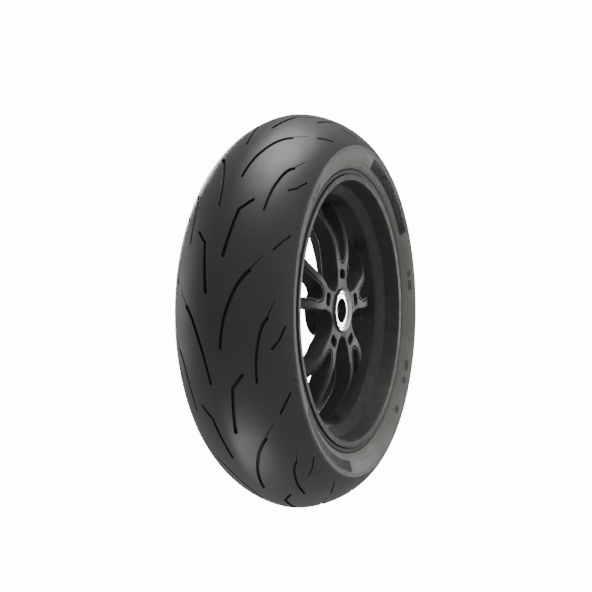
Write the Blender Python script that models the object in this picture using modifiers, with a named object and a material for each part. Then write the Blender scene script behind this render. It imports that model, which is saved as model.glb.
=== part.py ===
"""Motorcycle rear road wheel: a wide radial tyre on a five-arm cast wheel, with its hub
bearings and tyre valve.

Every piece is turned or cut with the axle along its own Z axis, and one empty stands the wheel
up, so that in the world the axle lies along Y, +X is forwards and +Z is up. The open, dished
side of the wheel faces -Y, which is the right-hand side of the motorcycle. The valve pieces are
turned about the world Z axis, because the valve sits at the lowest point of the rim.

Sizes are in millimetres and are scaled to metres where the meshes are made.
"""

import math

import bmesh
import bpy
from mathutils import Matrix, Vector

MM = 0.001
GAP = 0.3

# Tread section: |z / SECTION_Z|^POWER + |(r - SECTION_R) / CROWN_RISE|^POWER = 1, up to a ridge.
TYRE_R = 326.0
SECTION_Z = 100.2
SECTION_R = 254.1
CROWN_RISE = TYRE_R - SECTION_R
SECTION_POWER = 1.72
RIDGE_ANGLE = 74.3
# Sidewall, from the ridge down to the rim: control points (radius, height) of one curve.
SIDEWALL_CURVE = ((268.6, 96.0), (261.0, 94.6), (246.0, 89.5), (233.2, 81.2))

# Plies, as depths below the outer surface.
PLY_DEPTH_CROWN = 10.1
PLY_DEPTH_SIDE = 4.8
PLY_THICKNESS = 1.8
BELT_THICKNESS = 1.5
LINER_THICKNESS = 1.2
BELT_EDGE_SHARE = 0.86
OUTER_ANGLES = (0.0, 15.0, 30.0, 45.0, 60.0, RIDGE_ANGLE)
INNER_ANGLES = (0.0, 28.0, 52.0, RIDGE_ANGLE)
# Where the ply's outer face passes behind the sidewall: (radius, height), outward normal.
PLY_AT_WALL = (((254.1, 85.2), (-0.45, 0.89)), ((239.6, 77.1), (-0.78, 0.63)))

# Rim: a 17 x 6.00 motorcycle contour.
BEAD_SEAT_R = 218.3
BEAD_SEAT_TAPER = math.tan(math.radians(5.0))
FLANGE_INNER_Z = 76.2
FLANGE_R = 231.9
LIP_Z = 82.2
LIP_R = (214.4, 222.8)
WELL_OUTER_R = 197.0
WELL_INNER_R = 193.0

# Bead: the steel core and what wraps it.
CORE_Z = (63.1, 71.5)
CORE_TOP_R = 229.3
STRIP_TOP_R = 227.0

# Spokes: five arms that fork, on a dished disc.
ARMS = 5
FIRST_ARM_ANGLE = 18.0
FACE_Z = 56.3
DISH_START_R = 96.0
DISH_END_R = 195.0
DISH_DROP = 39.3
DISH_REFERENCE_R = 187.0
DISH_POWER = 1.9
DISH_RINGS = 5
ARM_THICKNESS_HUB = 29.0
ARM_THICKNESS_RIM = 26.0
WINDOW_REACH = 75.0
POCKET_R = 61.0
POCKET_SIZE = (15.0, 21.0)
POCKET_CORNER = 5.0
POCKET_DEPTH = 16.0

# Hub and its two 40 x 68 x 15 ball bearings.
HUB_R = 43.0
HUB_END_Z = 6.0
COLLAR_R = 36.6
COLLAR_Z = 59.4
BEARING_BORE_R = 20.0
BEARING_OUTER_R = 34.0
BEARING_WIDTH = 15.0
BEARING_Z = {"right": 47.5, "left": 16.5}
INNER_LAND_R = 24.0
OUTER_LAND_R = 30.0
PITCH_R = 27.0
BALL_R = 3.97
RACEWAY_R = 4.4
BALLS = 12
SHOULDER_R = 30.0
SPACER_R = 24.5
SHIELD_R = (24.5, 29.4)
SHIELD_Z = (6.1, 7.1)
CAGE_R = (25.8, 28.2)
CAGE_RING_Z = (4.7, 5.7)
CAGE_POST_WIDTH = 4.0
RING_R = (31.0, 35.8)
RING_Z = (7.0, 8.5)
RING_OPENING_DEG = 34.0

# Valve: clamped through the well, with its axis along a wheel radius.
VALVE_HOLE_R = 4.4
VALVE_STEM_R = 4.0
BOSS_R = 12.0
BOSS_ENDS = (190.0, 198.3)
STEM_TIP_R = 170.0
CORE_BORE_R = 2.4
NUT_ACROSS_FLATS = 12.0

# Facets round the axle, round a bearing and round the valve.
WHEEL_STEPS = 32
BEARING_STEPS = 24
VALVE_STEPS = 16
PIN_STEPS = 10

RUBBER = ((0.035, 0.035, 0.035), 0.62, 0.0)
PLY = ((0.16, 0.14, 0.11), 0.8, 0.0)
LINER = ((0.05, 0.05, 0.05), 0.5, 0.0)
BEAD_STEEL = ((0.45, 0.38, 0.27), 0.4, 1.0)
WHEEL_PAINT = ((0.09, 0.088, 0.085), 0.38, 0.6)
BEARING_STEEL = ((0.72, 0.72, 0.72), 0.15, 1.0)
CAGE_STEEL = ((0.5, 0.48, 0.44), 0.35, 1.0)
SEAL_RUBBER = ((0.04, 0.04, 0.045), 0.5, 0.0)
SPRING_STEEL = ((0.12, 0.12, 0.12), 0.4, 1.0)
VALVE_BRASS = ((0.75, 0.6, 0.35), 0.3, 1.0)
VALVE_NICKEL = ((0.62, 0.6, 0.57), 0.25, 1.0)
CAP_PLASTIC = ((0.03, 0.03, 0.03), 0.4, 0.0)


# ---------------------------------------------------------------- scene helpers

def clear_scene():
    for obj in list(bpy.data.objects):
        bpy.data.objects.remove(obj, do_unlink=True)


def new_collection(name):
    collection = bpy.data.collections.new(name)
    bpy.context.scene.collection.children.link(collection)
    return collection


def material(name, look):
    colour, roughness, metallic = look
    made = bpy.data.materials.new(name)
    made.use_nodes = True
    shader = made.node_tree.nodes["Principled BSDF"]
    shader.inputs["Base Color"].default_value = (*colour, 1.0)
    shader.inputs["Roughness"].default_value = roughness
    shader.inputs["Metallic"].default_value = metallic
    return made


def add_object(name, mesh, collection, parent=None):
    obj = bpy.data.objects.new(name, mesh)
    collection.objects.link(obj)
    obj.parent = parent
    return obj


def hide_cutter(obj):
    obj.hide_render = True
    obj.display_type = "WIRE"
    return obj


def bake(obj):
    """Make the object's modifiers' result its own mesh, smooth between its sharp edges."""
    depsgraph = bpy.context.evaluated_depsgraph_get()
    mesh = bpy.data.meshes.new_from_object(obj.evaluated_get(depsgraph))
    mesh.name = obj.name
    obj.modifiers.clear()
    obj.data = mesh
    mesh.shade_smooth()
    mesh.set_sharp_from_angle(angle=math.radians(30.0))
    return obj


def finish(obj, look):
    bake(obj)
    obj.data.materials.clear()
    obj.data.materials.append(material(obj.name, look))
    return obj


def boolean(obj, operation, other):
    modifier = obj.modifiers.new(f"{operation.lower()}_{other.name}", "BOOLEAN")
    modifier.operation = operation
    modifier.solver = "EXACT"
    modifier.object = other
    return modifier


def add_screw(obj, steps):
    """Turn an object's outline once round its own Z axis."""
    screw = obj.modifiers.new("turn", "SCREW")
    screw.axis = "Z"
    screw.angle = 2.0 * math.pi
    screw.steps = steps
    screw.render_steps = steps
    screw.use_merge_vertices = True
    screw.merge_threshold = 0.00001
    return obj


def turned(name, outline, collection, parent, steps=WHEEL_STEPS):
    """Turn a closed outline of (radius, height) points about the object's Z axis."""
    area = sum(a[0] * b[1] - b[0] * a[1] for a, b in zip(outline, outline[1:] + outline[:1]))
    if area > 0.0:
        outline = outline[::-1]
    count = len(outline)
    mesh = bpy.data.meshes.new(name)
    verts = [(radius * MM, 0.0, height * MM) for radius, height in outline]
    mesh.from_pydata(verts, [(i, (i + 1) % count) for i in range(count)], [])
    return add_screw(add_object(name, mesh, collection, parent), steps)


def turned_tube(name, radii, heights, collection, parent, steps):
    inner, outer = radii
    low, high = heights
    outline = [(inner, low), (outer, low), (outer, high), (inner, high)]
    return turned(name, outline, collection, parent, steps)


def outline_solid(name, splines, thickness, height, collection, parent):
    """Extrude closed flat outlines, each (points, smooth), into one mesh centred on a height."""
    curve = bpy.data.curves.new(name, "CURVE")
    curve.dimensions = "2D"
    curve.fill_mode = "BOTH"
    curve.extrude = 0.5 * thickness * MM
    curve.resolution_u = 3
    for points, smooth in splines:
        if smooth:
            spline = curve.splines.new("BEZIER")
            spline.bezier_points.add(len(points) - 1)
            for place, (x, y, handle) in zip(spline.bezier_points, points):
                place.co = (x * MM, y * MM, 0.0)
                place.handle_left_type = handle
                place.handle_right_type = handle
        else:
            spline = curve.splines.new("POLY")
            spline.points.add(len(points) - 1)
            for place, (x, y) in zip(spline.points, points):
                place.co = (x * MM, y * MM, 0.0, 1.0)
        spline.use_cyclic_u = True
    drawn = add_object(name + "_outline", curve, collection, parent)
    drawn.location.z = height * MM
    bpy.context.view_layer.update()
    depsgraph = bpy.context.evaluated_depsgraph_get()
    mesh = bpy.data.meshes.new_from_object(drawn.evaluated_get(depsgraph))
    weld = bmesh.new()
    weld.from_mesh(mesh)
    bmesh.ops.remove_doubles(weld, verts=weld.verts, dist=0.00001)
    bmesh.ops.recalc_face_normals(weld, faces=weld.faces)
    weld.to_mesh(mesh)
    weld.free()
    solid = add_object(name, mesh, collection)
    solid.matrix_world = drawn.matrix_world
    bpy.data.objects.remove(drawn, do_unlink=True)
    return solid


# ---------------------------------------------------------------- tyre section

def section_point(angle_deg, depth=0.0):
    """Point (radius, height) at a depth below the tread's outer surface."""
    angle = math.radians(angle_deg)
    power = 2.0 / SECTION_POWER
    across = math.sin(angle) ** power
    rise = max(math.cos(angle), 0.0) ** power
    normal = Vector((rise ** (SECTION_POWER - 1.0) / CROWN_RISE,
                     across ** (SECTION_POWER - 1.0) / SECTION_Z)).normalized()
    surface = Vector((SECTION_R + CROWN_RISE * rise, SECTION_Z * across))
    return tuple(surface - normal * depth)


def sidewall_point(share):
    """Point (radius, height) on the sidewall: share 0 is its top, at the ridge, and 1 its foot."""
    ends = [Vector(point) for point in SIDEWALL_CURVE]
    rest = 1.0 - share
    return tuple(ends[0] * rest ** 3 + ends[1] * 3.0 * rest ** 2 * share
                 + ends[2] * 3.0 * rest * share ** 2 + ends[3] * share ** 3)


def ply_at_wall(extra_depth):
    """Points (radius, height) at a depth below the ply's outer face, behind the sidewall."""
    return [tuple(Vector(point) - Vector(normal) * extra_depth)
            for point, normal in PLY_AT_WALL]


def ply_depth(angle_deg):
    return PLY_DEPTH_CROWN + (PLY_DEPTH_SIDE - PLY_DEPTH_CROWN) * (angle_deg / 90.0) ** 2


def flipped(points):
    """The same points on the other side of the wheel's middle plane, in reverse order."""
    return [(radius, -height) for radius, height in reversed(points)]


def both_sides(half):
    """Join a half section that starts on the middle plane to its mirror image."""
    return flipped(half)[:-1] + half


def make_tread(parts, frame):
    surface = both_sides([section_point(a) for a in OUTER_ANGLES])
    under = both_sides([section_point(a, ply_depth(a) - BELT_THICKNESS - 2.0 * GAP)
                        for a in INNER_ANGLES])
    return finish(turned("tread", surface + under[::-1], parts, frame), RUBBER)


def belt_half(extra_depth):
    """Half of a belt surface, which stops a little short of the tread's edge."""
    half = [Vector(section_point(a, ply_depth(a) - extra_depth)) for a in INNER_ANGLES]
    half[-1] = half[-2].lerp(half[-1], BELT_EDGE_SHARE)
    return [tuple(point) for point in half]


def make_belt(parts, frame):
    top = both_sides(belt_half(BELT_THICKNESS + GAP))
    under = both_sides(belt_half(GAP))
    return finish(turned("steel_belt", top + under[::-1], parts, frame), BEAD_STEEL)


def ply_half(extra_depth):
    half = [section_point(a, ply_depth(a) + extra_depth) for a in INNER_ANGLES]
    return half + ply_at_wall(extra_depth)


def make_carcass(parts, frame):
    """One ply that runs from bead to bead and turns up round each steel core."""
    low, high = CORE_Z[0] - GAP, CORE_Z[1] + GAP
    outer_side = [(229.6, low), (222.0, low), (222.8, high), (230.0, high)]
    inner_side = [(230.0, high + PLY_THICKNESS), (221.1, high + PLY_THICKNESS),
                  (219.9, low - PLY_THICKNESS), (230.5, low - PLY_THICKNESS)]
    half = ply_half(0.0) + outer_side
    back = inner_side + ply_half(PLY_THICKNESS)[::-1]
    outline = half + back + [(r, -z) for r, z in back[::-1][1:]]
    outline += [(r, -z) for r, z in half[::-1][:-1]]
    return finish(turned("carcass_ply", outline, parts, frame), PLY)


def make_liner(parts, frame):
    edge = CORE_Z[0] - GAP - PLY_THICKNESS - GAP
    outer_side = ply_half(PLY_THICKNESS + GAP) + [(230.7, edge), (221.0, edge)]
    inner_side = [(221.0, edge - LINER_THICKNESS), (231.2, edge - LINER_THICKNESS)]
    inner_side += ply_half(PLY_THICKNESS + GAP + LINER_THICKNESS)[::-1]
    outline = outer_side + inner_side
    outline += [(r, -z) for r, z in inner_side[::-1][1:]]
    outline += [(r, -z) for r, z in outer_side[::-1][:-1]]
    return finish(turned("inner_liner", outline, parts, frame), LINER)


def sidewall_outline():
    """Rubber from the ridge at the tread's edge down to the rim flange."""
    start = RIDGE_ANGLE + math.degrees(GAP / 30.0)
    strip_face = FLANGE_INNER_Z - GAP
    outer_side = [section_point(start)]
    outer_side += [sidewall_point(share) for share in (0.25, 0.5, 0.75, 1.0)]
    flange_side = [(232.4, 78.4), (230.75, 76.6), (STRIP_TOP_R + GAP, strip_face)]
    inner_side = [(STRIP_TOP_R + GAP, strip_face - 2.0), (230.3, strip_face - 2.0),
                  (232.5, CORE_Z[1] + 2.0), *reversed(ply_at_wall(-GAP)),
                  section_point(start, ply_depth(start) - GAP)]
    return outer_side + flange_side + inner_side


def strip_outline():
    """Rim strip: the hard rubber skin between the bead and the rim's seat and flange."""
    face = FLANGE_INNER_Z - GAP
    toe = 58.3
    seat = [(BEAD_SEAT_R + GAP - (FLANGE_INNER_Z - z) * BEAD_SEAT_TAPER, z) for z in (toe, face)]
    upper = [(STRIP_TOP_R, face), (STRIP_TOP_R, face - 2.0), (220.8, face - 2.0), (219.3, toe)]
    return seat + upper


def core_outline():
    low, high = CORE_Z
    return [(222.4, low), (223.2, high), (CORE_TOP_R, high), (CORE_TOP_R, low)]


def filler_outline():
    """Bead filler: the hard rubber wedge that stands on the core between the two plies."""
    base = CORE_TOP_R + GAP + 0.1
    return [(base, 63.9), (base, CORE_Z[1]), (236.8, 74.0)]


def make_side_pieces(parts, frame):
    rings = (("sidewall", sidewall_outline(), RUBBER), ("rim_strip", strip_outline(), RUBBER),
             ("bead_core", core_outline(), BEAD_STEEL), ("bead_filler", filler_outline(), RUBBER))
    for name, outline, look in rings:
        finish(turned(name + "_right", outline, parts, frame), look)
        finish(turned(name + "_left", flipped(outline), parts, frame), look)


# ---------------------------------------------------------------- cast wheel

def rim_outline():
    """Closed rim section: the tyre's side of it and the open inner side."""
    seat_toe = 57.5
    tyre_side = [(WELL_OUTER_R, 36.5), (216.2, 51.0), (217.4, 53.6), (217.4, 55.4),
                 (BEAD_SEAT_R - (FLANGE_INNER_Z - seat_toe) * BEAD_SEAT_TAPER, seat_toe),
                 (BEAD_SEAT_R, FLANGE_INNER_Z), (STRIP_TOP_R, FLANGE_INNER_Z),
                 (230.4, 77.0), (FLANGE_R, 78.2), (231.4, 79.2), (224.2, 79.4),
                 (LIP_R[1], LIP_Z)]
    open_side = [(LIP_R[0], LIP_Z - 1.6), (213.0, 78.0), (208.2, 55.6), (205.5, 53.0),
                 (195.0, 43.5), (WELL_INNER_R, 40.0)]
    return (tyre_side + open_side + [(r, -z) for r, z in open_side[::-1]]
            + [(r, -z) for r, z in tyre_side[::-1]])


def dish_z(radius):
    """Height of the spokes' outer face, which falls away from the hub towards the rim."""
    fall = max(radius - DISH_START_R, 0.0) / (DISH_REFERENCE_R - DISH_START_R)
    return FACE_Z - DISH_DROP * fall ** DISH_POWER


def arm_thickness(radius):
    share = max(radius - DISH_START_R, 0.0) / (DISH_END_R - DISH_START_R)
    return ARM_THICKNESS_HUB + (ARM_THICKNESS_RIM - ARM_THICKNESS_HUB) * share


def hub_and_dish_outline():
    seat = BEARING_OUTER_R + GAP
    right = BEARING_Z["right"] - 0.5 * BEARING_WIDTH - GAP
    left = BEARING_Z["left"] + 0.5 * BEARING_WIDTH + GAP
    step = (DISH_END_R - DISH_START_R) / DISH_RINGS
    radii = [DISH_START_R + i * step for i in range(DISH_RINGS + 1)]
    face = [(r, dish_z(r)) for r in radii]
    back = [(r, dish_z(r) - arm_thickness(r)) for r in reversed(radii)]
    groove_low, groove_high = RING_Z[0] - GAP, RING_Z[1] + GAP
    groove_r = RING_R[1] + GAP
    hub = [(HUB_R, FACE_Z - ARM_THICKNESS_HUB), (HUB_R, HUB_END_Z), (seat + 0.8, HUB_END_Z),
           (seat, HUB_END_Z + 0.7), (groove_r, groove_low), (groove_r, groove_high),
           (seat, groove_high), (seat, left), (SHOULDER_R, left), (SHOULDER_R, right),
           (seat, right), (seat, COLLAR_Z - 0.8), (seat + 0.8, COLLAR_Z), (COLLAR_R, COLLAR_Z),
           (COLLAR_R + 0.6, FACE_Z)]
    return face + back + hub


def around(points, angle_deg):
    """Turn (x, y, handle) points about the axle."""
    c, s = math.cos(math.radians(angle_deg)), math.sin(math.radians(angle_deg))
    return [(x * c - y * s, x * s + y * c, handle) for x, y, handle in points]


def mirrored_outline(half):
    """Close a half outline, which starts on its own centre line, with its mirror image."""
    return half + [(x, -y, handle) for x, y, handle in half[:0:-1]]


def window_outlines():
    """The openings inside each fork, and the wider ones between neighbouring arms."""
    fork = [(83.0, 0.0, "AUTO"), (91.0, 9.0, "AUTO"), (118.0, 15.0, "AUTO"),
            (143.0, 24.0, "AUTO"), (184.0, 49.0, "AUTO"), (194.0, 55.9, "VECTOR")]
    bay = [(44.0, 0.0, "AUTO"), (60.5, 20.5, "AUTO"), (81.0, 28.0, "AUTO"),
           (115.0, 42.7, "AUTO"), (141.5, 48.5, "AUTO"), (178.4, 46.8, "AUTO"),
           (194.0, 44.5, "VECTOR")]
    outlines = []
    for index in range(ARMS):
        angle = FIRST_ARM_ANGLE + index * 360.0 / ARMS
        outlines.append((around(mirrored_outline(fork), angle), True))
        outlines.append((around(mirrored_outline(bay), angle + 180.0 / ARMS), True))
    return outlines


def pocket_outlines():
    """Rounded lightening pockets in the arms, between the hub and the fork."""
    half_x, half_y = 0.5 * POCKET_SIZE[0], 0.5 * POCKET_SIZE[1]
    corners = ((1, 1, 0), (-1, 1, 90), (-1, -1, 180), (1, -1, 270))
    outlines = []
    for index in range(ARMS):
        points = []
        for side_x, side_y, start in corners:
            for step in range(4):
                turn = math.radians(start + 30.0 * step)
                x = side_x * (half_x - POCKET_CORNER) + POCKET_CORNER * math.cos(turn)
                y = side_y * (half_y - POCKET_CORNER) + POCKET_CORNER * math.sin(turn)
                points.append((POCKET_R + x, y, "VECTOR"))
        turned_points = around(points, FIRST_ARM_ANGLE + index * 360.0 / ARMS)
        outlines.append(([(x, y) for x, y, _ in turned_points], False))
    return outlines


def radial_rod(name, radius, ends, collection, segments=VALVE_STEPS):
    """A rod on the valve's axis, below the axle, between two distances from the axle."""
    near, far = ends
    rod = bmesh.new()
    place = Matrix.Translation((0.0, 0.0, -0.5 * (near + far) * MM))
    bmesh.ops.create_cone(rod, cap_ends=True, segments=segments, radius1=radius * MM,
                          radius2=radius * MM, depth=(far - near) * MM, matrix=place)
    mesh = bpy.data.meshes.new(name)
    rod.to_mesh(mesh)
    rod.free()
    return add_object(name, mesh, collection)


def make_cast_wheel(parts, cutters, frame):
    """Rim, five forked arms and hub, cast in one piece."""
    casting = turned("cast_wheel", hub_and_dish_outline(), parts, frame)
    windows = outline_solid("window_cutter", window_outlines(), 2.0 * WINDOW_REACH, 0.0,
                            cutters, frame)
    pockets = outline_solid("pocket_cutter", pocket_outlines(), 2.0 * POCKET_DEPTH, FACE_Z,
                            cutters, frame)
    rim = bake(turned("rim_blank", rim_outline(), cutters, frame))
    boss = radial_rod("valve_boss", BOSS_R, BOSS_ENDS, cutters)
    hole_ends = (BOSS_ENDS[0] - 5.0, BOSS_ENDS[1] + 5.0)
    hole = radial_rod("valve_hole", VALVE_HOLE_R, hole_ends, cutters)
    for other in (windows, pockets, rim, boss, hole):
        hide_cutter(other)
    boolean(casting, "DIFFERENCE", windows)
    boolean(casting, "DIFFERENCE", pockets)
    boolean(casting, "UNION", rim)
    boolean(casting, "UNION", boss)
    boolean(casting, "DIFFERENCE", hole)
    bpy.context.view_layer.update()
    return finish(casting, WHEEL_PAINT)


# ---------------------------------------------------------------- hub bearings

def race_outline(land_r, back_r, centre):
    """One bearing ring: a plain back, and a raceway groove in its land."""
    half = 0.5 * BEARING_WIDTH
    inwards = 1.0 if land_r > PITCH_R else -1.0
    groove = []
    for step in range(5):
        angle = math.radians(-46.0 + 23.0 * step)
        groove.append((PITCH_R + inwards * RACEWAY_R * math.cos(angle),
                       centre + RACEWAY_R * math.sin(angle)))
    return ([(back_r, centre + half), (back_r, centre - half), (land_r, centre - half)]
            + groove + [(land_r, centre + half)])


def make_balls(side, centre, parts, frame):
    """Twelve balls on the pitch circle, which share one mesh."""
    ball = bmesh.new()
    bmesh.ops.create_uvsphere(ball, u_segments=8, v_segments=5, radius=BALL_R * MM)
    mesh = bpy.data.meshes.new(f"bearing_ball_{side}")
    ball.to_mesh(mesh)
    ball.free()
    mesh.shade_smooth()
    mesh.materials.append(material(mesh.name, BEARING_STEEL))
    for index in range(BALLS):
        angle = math.radians(index * 360.0 / BALLS)
        obj = add_object(f"bearing_ball_{side}_{index + 1:02d}", mesh, parts, frame)
        obj.location = Vector((PITCH_R * math.cos(angle), PITCH_R * math.sin(angle), centre)) * MM


def make_cage(name, centre, inboard, parts, cutters, frame):
    """Crown cage: a ring beside the balls, with a post in each space between them."""
    near, far = (inboard * z for z in CAGE_RING_Z)
    ring = turned_tube(name, CAGE_R, sorted((centre + near, centre + far)), parts, frame,
                       BEARING_STEPS)
    posts = bmesh.new()
    length = CAGE_RING_Z[1] + BALL_R - 0.6
    middle = centre + inboard * (0.5 * (CAGE_RING_Z[0] + CAGE_RING_Z[1]) - 0.5 * length)
    size = Vector((CAGE_R[1] - CAGE_R[0] - 0.6, CAGE_POST_WIDTH, length)) * MM
    for index in range(BALLS):
        turn = Matrix.Rotation(math.radians((index + 0.5) * 360.0 / BALLS), 4, "Z")
        shift = Matrix.Translation((PITCH_R * MM, 0.0, middle * MM))
        scale = Matrix.Diagonal((*size, 1.0))
        bmesh.ops.create_cube(posts, size=1.0, matrix=turn @ shift @ scale)
    mesh = bpy.data.meshes.new(name + "_posts")
    posts.to_mesh(mesh)
    posts.free()
    boolean(ring, "UNION", hide_cutter(add_object(name + "_posts", mesh, cutters, frame)))
    bpy.context.view_layer.update()
    return finish(ring, CAGE_STEEL)


def make_bearings(parts, cutters, frame):
    for side, centre in BEARING_Z.items():
        outer = race_outline(OUTER_LAND_R, BEARING_OUTER_R, centre)
        inner = race_outline(INNER_LAND_R, BEARING_BORE_R, centre)
        finish(turned(f"bearing_outer_race_{side}", outer, parts, frame, BEARING_STEPS),
               BEARING_STEEL)
        finish(turned(f"bearing_inner_race_{side}", inner, parts, frame, BEARING_STEPS),
               BEARING_STEEL)
        make_balls(side, centre, parts, frame)
        outboard = 1.0 if side == "right" else -1.0
        make_cage(f"bearing_cage_{side}", centre, -outboard, parts, cutters, frame)
        faces = sorted(centre + outboard * z for z in SHIELD_Z)
        finish(turned_tube(f"bearing_shield_{side}", SHIELD_R, faces, parts, frame,
                           BEARING_STEPS), BEARING_STEEL)


def make_spacer(parts, frame):
    half = 0.5 * BEARING_WIDTH + GAP
    heights = (BEARING_Z["left"] + half, BEARING_Z["right"] - half)
    tube = turned_tube("bearing_spacer", (BEARING_BORE_R, SPACER_R), heights, parts, frame,
                       BEARING_STEPS)
    return finish(tube, BEARING_STEEL)


def make_retaining_ring(parts, frame):
    """Internal spring ring, open at the top, that keeps the left bearing in the hub."""
    inner, outer = RING_R
    start = 90.0 + 0.5 * RING_OPENING_DEG
    sweep = 360.0 - RING_OPENING_DEG
    turns = [math.radians(start + sweep * i / BEARING_STEPS) for i in range(BEARING_STEPS + 1)]
    outline = [(outer * math.cos(t), outer * math.sin(t)) for t in turns]
    outline += [(inner * math.cos(t), inner * math.sin(t)) for t in reversed(turns)]
    ring = outline_solid("retaining_ring", [(outline, False)], RING_Z[1] - RING_Z[0],
                         0.5 * (RING_Z[0] + RING_Z[1]), parts, frame)
    return finish(ring, SPRING_STEEL)


# ---------------------------------------------------------------- tyre valve

def make_valve(parts, cutters):
    """Clamp-in valve. Heights are minus the distance from the axle."""
    seat_low, seat_high = BOSS_ENDS
    head = seat_high + GAP + 1.8 + GAP
    stem = [(CORE_BORE_R, -STEM_TIP_R), (VALVE_STEM_R, -STEM_TIP_R), (VALVE_STEM_R, -head),
            (7.5, -head), (7.5, -head - 2.4), (CORE_BORE_R, -head - 2.4)]
    finish(turned("valve_stem", stem, parts, None, VALVE_STEPS), VALVE_NICKEL)
    grommet = (-seat_high - GAP - 1.8, -seat_high - GAP)
    finish(turned_tube("valve_grommet", (VALVE_HOLE_R, 7.2), grommet, parts, None, VALVE_STEPS),
           SEAL_RUBBER)
    washer = (-seat_low + GAP, -seat_low + GAP + 1.0)
    finish(turned_tube("valve_washer", (VALVE_HOLE_R, 7.8), washer, parts, None, VALVE_STEPS),
           VALVE_NICKEL)
    nut_face = seat_low - 2.0 * GAP - 1.0
    across_corners = NUT_ACROSS_FLATS / math.sqrt(3.0)
    nut = radial_rod("valve_nut", across_corners, (nut_face - 5.0, nut_face), parts, segments=6)
    nut_hole = hide_cutter(radial_rod("valve_nut_hole", VALVE_HOLE_R,
                                      (nut_face - 6.0, nut_face + 1.0), cutters))
    boolean(nut, "DIFFERENCE", nut_hole)
    bpy.context.view_layer.update()
    finish(nut, VALVE_NICKEL)
    core_end = 186.0
    finish(turned_tube("valve_core_body", (1.0, 2.0), (-core_end, -173.0), parts, None, PIN_STEPS),
           VALVE_BRASS)
    plunger = core_end + 0.4
    pin = [(0.0, -171.2), (0.65, -171.2), (0.65, -plunger), (1.7, -plunger),
           (1.7, -plunger - 1.6), (0.0, -plunger - 1.6)]
    finish(turned_pin("valve_core_pin", pin, parts), VALVE_BRASS)
    cap = [(0.0, -166.4), (5.2, -166.4), (5.2, -178.4), (4.4, -178.4), (4.4, -168.4),
           (0.0, -168.4)]
    finish(turned_pin("valve_cap", cap, parts, VALVE_STEPS), CAP_PLASTIC)
    finish(turned_tube("valve_cap_seal", (1.5, 3.8), (-STEM_TIP_R + 0.3, -168.8), parts, None,
                       VALVE_STEPS), SEAL_RUBBER)


def turned_pin(name, outline, parts, steps=PIN_STEPS):
    """Turn an open outline whose two ends lie on the axis, and join each end to a point."""
    mesh = bpy.data.meshes.new(name)
    verts = [(radius * MM, 0.0, height * MM) for radius, height in outline]
    mesh.from_pydata(verts, [(i, i + 1) for i in range(len(outline) - 1)], [])
    return add_screw(add_object(name, mesh, parts), steps)


def main():
    clear_scene()
    parts = new_collection("motorcycle_tire")
    cutters = new_collection("cutters")
    frame = bpy.data.objects.new("wheel_axis", None)
    frame.rotation_euler = (math.radians(90.0), 0.0, 0.0)
    parts.objects.link(frame)
    bpy.context.view_layer.update()
    make_tread(parts, frame)
    make_belt(parts, frame)
    make_carcass(parts, frame)
    make_liner(parts, frame)
    make_side_pieces(parts, frame)
    make_cast_wheel(parts, cutters, frame)
    make_bearings(parts, cutters, frame)
    make_spacer(parts, frame)
    make_retaining_ring(parts, frame)
    make_valve(parts, cutters)


main()
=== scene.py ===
"""Looks of a motorcycle road wheel with its tyre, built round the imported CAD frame.

Lengths are in millimetres until a mesh is made. A wheel point is (across, up, along the axle
towards the right-hand, open side), which is (X, Z, -Y) in the row frame. Angles go round the
axle from +X towards +Z, in degrees.
"""

import math

import bmesh
import bpy
import numpy as np
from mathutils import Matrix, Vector
from mathutils.geometry import delaunay_2d_cdt


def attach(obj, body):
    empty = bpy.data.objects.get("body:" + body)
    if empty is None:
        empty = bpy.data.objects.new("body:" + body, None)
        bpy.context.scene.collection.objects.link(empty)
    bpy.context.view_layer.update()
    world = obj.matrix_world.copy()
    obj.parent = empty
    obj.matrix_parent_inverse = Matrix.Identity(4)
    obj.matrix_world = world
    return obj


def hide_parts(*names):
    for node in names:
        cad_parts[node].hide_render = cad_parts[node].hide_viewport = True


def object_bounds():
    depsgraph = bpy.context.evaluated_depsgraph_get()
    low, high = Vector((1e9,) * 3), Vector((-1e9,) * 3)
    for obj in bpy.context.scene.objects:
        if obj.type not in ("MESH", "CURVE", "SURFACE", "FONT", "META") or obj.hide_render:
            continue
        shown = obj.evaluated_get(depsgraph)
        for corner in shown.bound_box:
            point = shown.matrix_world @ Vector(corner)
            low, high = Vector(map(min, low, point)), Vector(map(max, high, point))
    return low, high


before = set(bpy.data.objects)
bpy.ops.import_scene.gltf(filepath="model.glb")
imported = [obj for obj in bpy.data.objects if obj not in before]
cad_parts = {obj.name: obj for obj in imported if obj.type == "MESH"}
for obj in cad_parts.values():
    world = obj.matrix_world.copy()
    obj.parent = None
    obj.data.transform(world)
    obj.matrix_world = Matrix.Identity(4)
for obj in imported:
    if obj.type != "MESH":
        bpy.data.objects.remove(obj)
cad_low, cad_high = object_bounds()

MM = 0.001

# Tread section: |n / TREAD_N|^POWER + |(r - TREAD_FOOT_R) / RISE|^POWER = 1, up to the ridge.
TYRE_R = 0.5 * (cad_high.z - cad_low.z) / MM
TREAD_N = 100.2
TREAD_FOOT_R = 254.1
CROWN_RISE = TYRE_R - TREAD_FOOT_R
POWER = 1.72
RIDGE_ANGLE = 74.3
SIDEWALL_CURVE = ((268.6, 96.0), (261.0, 94.6), (246.0, 89.5), (233.2, 81.2))

# Tread pattern: lateral distance from the crown and angle, for the right half.
PITCH = 45.0
STEP = 0.9
LEFT_SHIFT = 9.0
ROWS = 24
PLANE_MM_PER_DEG = 5.2
LIP = 0.45
LIP_DROP = 0.4
FLOOR_SHARE = 0.72
TILE_EDGE = ((0.0, 171.0), (12.0, 171.0), (40.0, 160.0), (57.0, 158.5), (80.0, 152.5),
             (103.0, 148.5), (130.0, 148.5))
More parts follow.
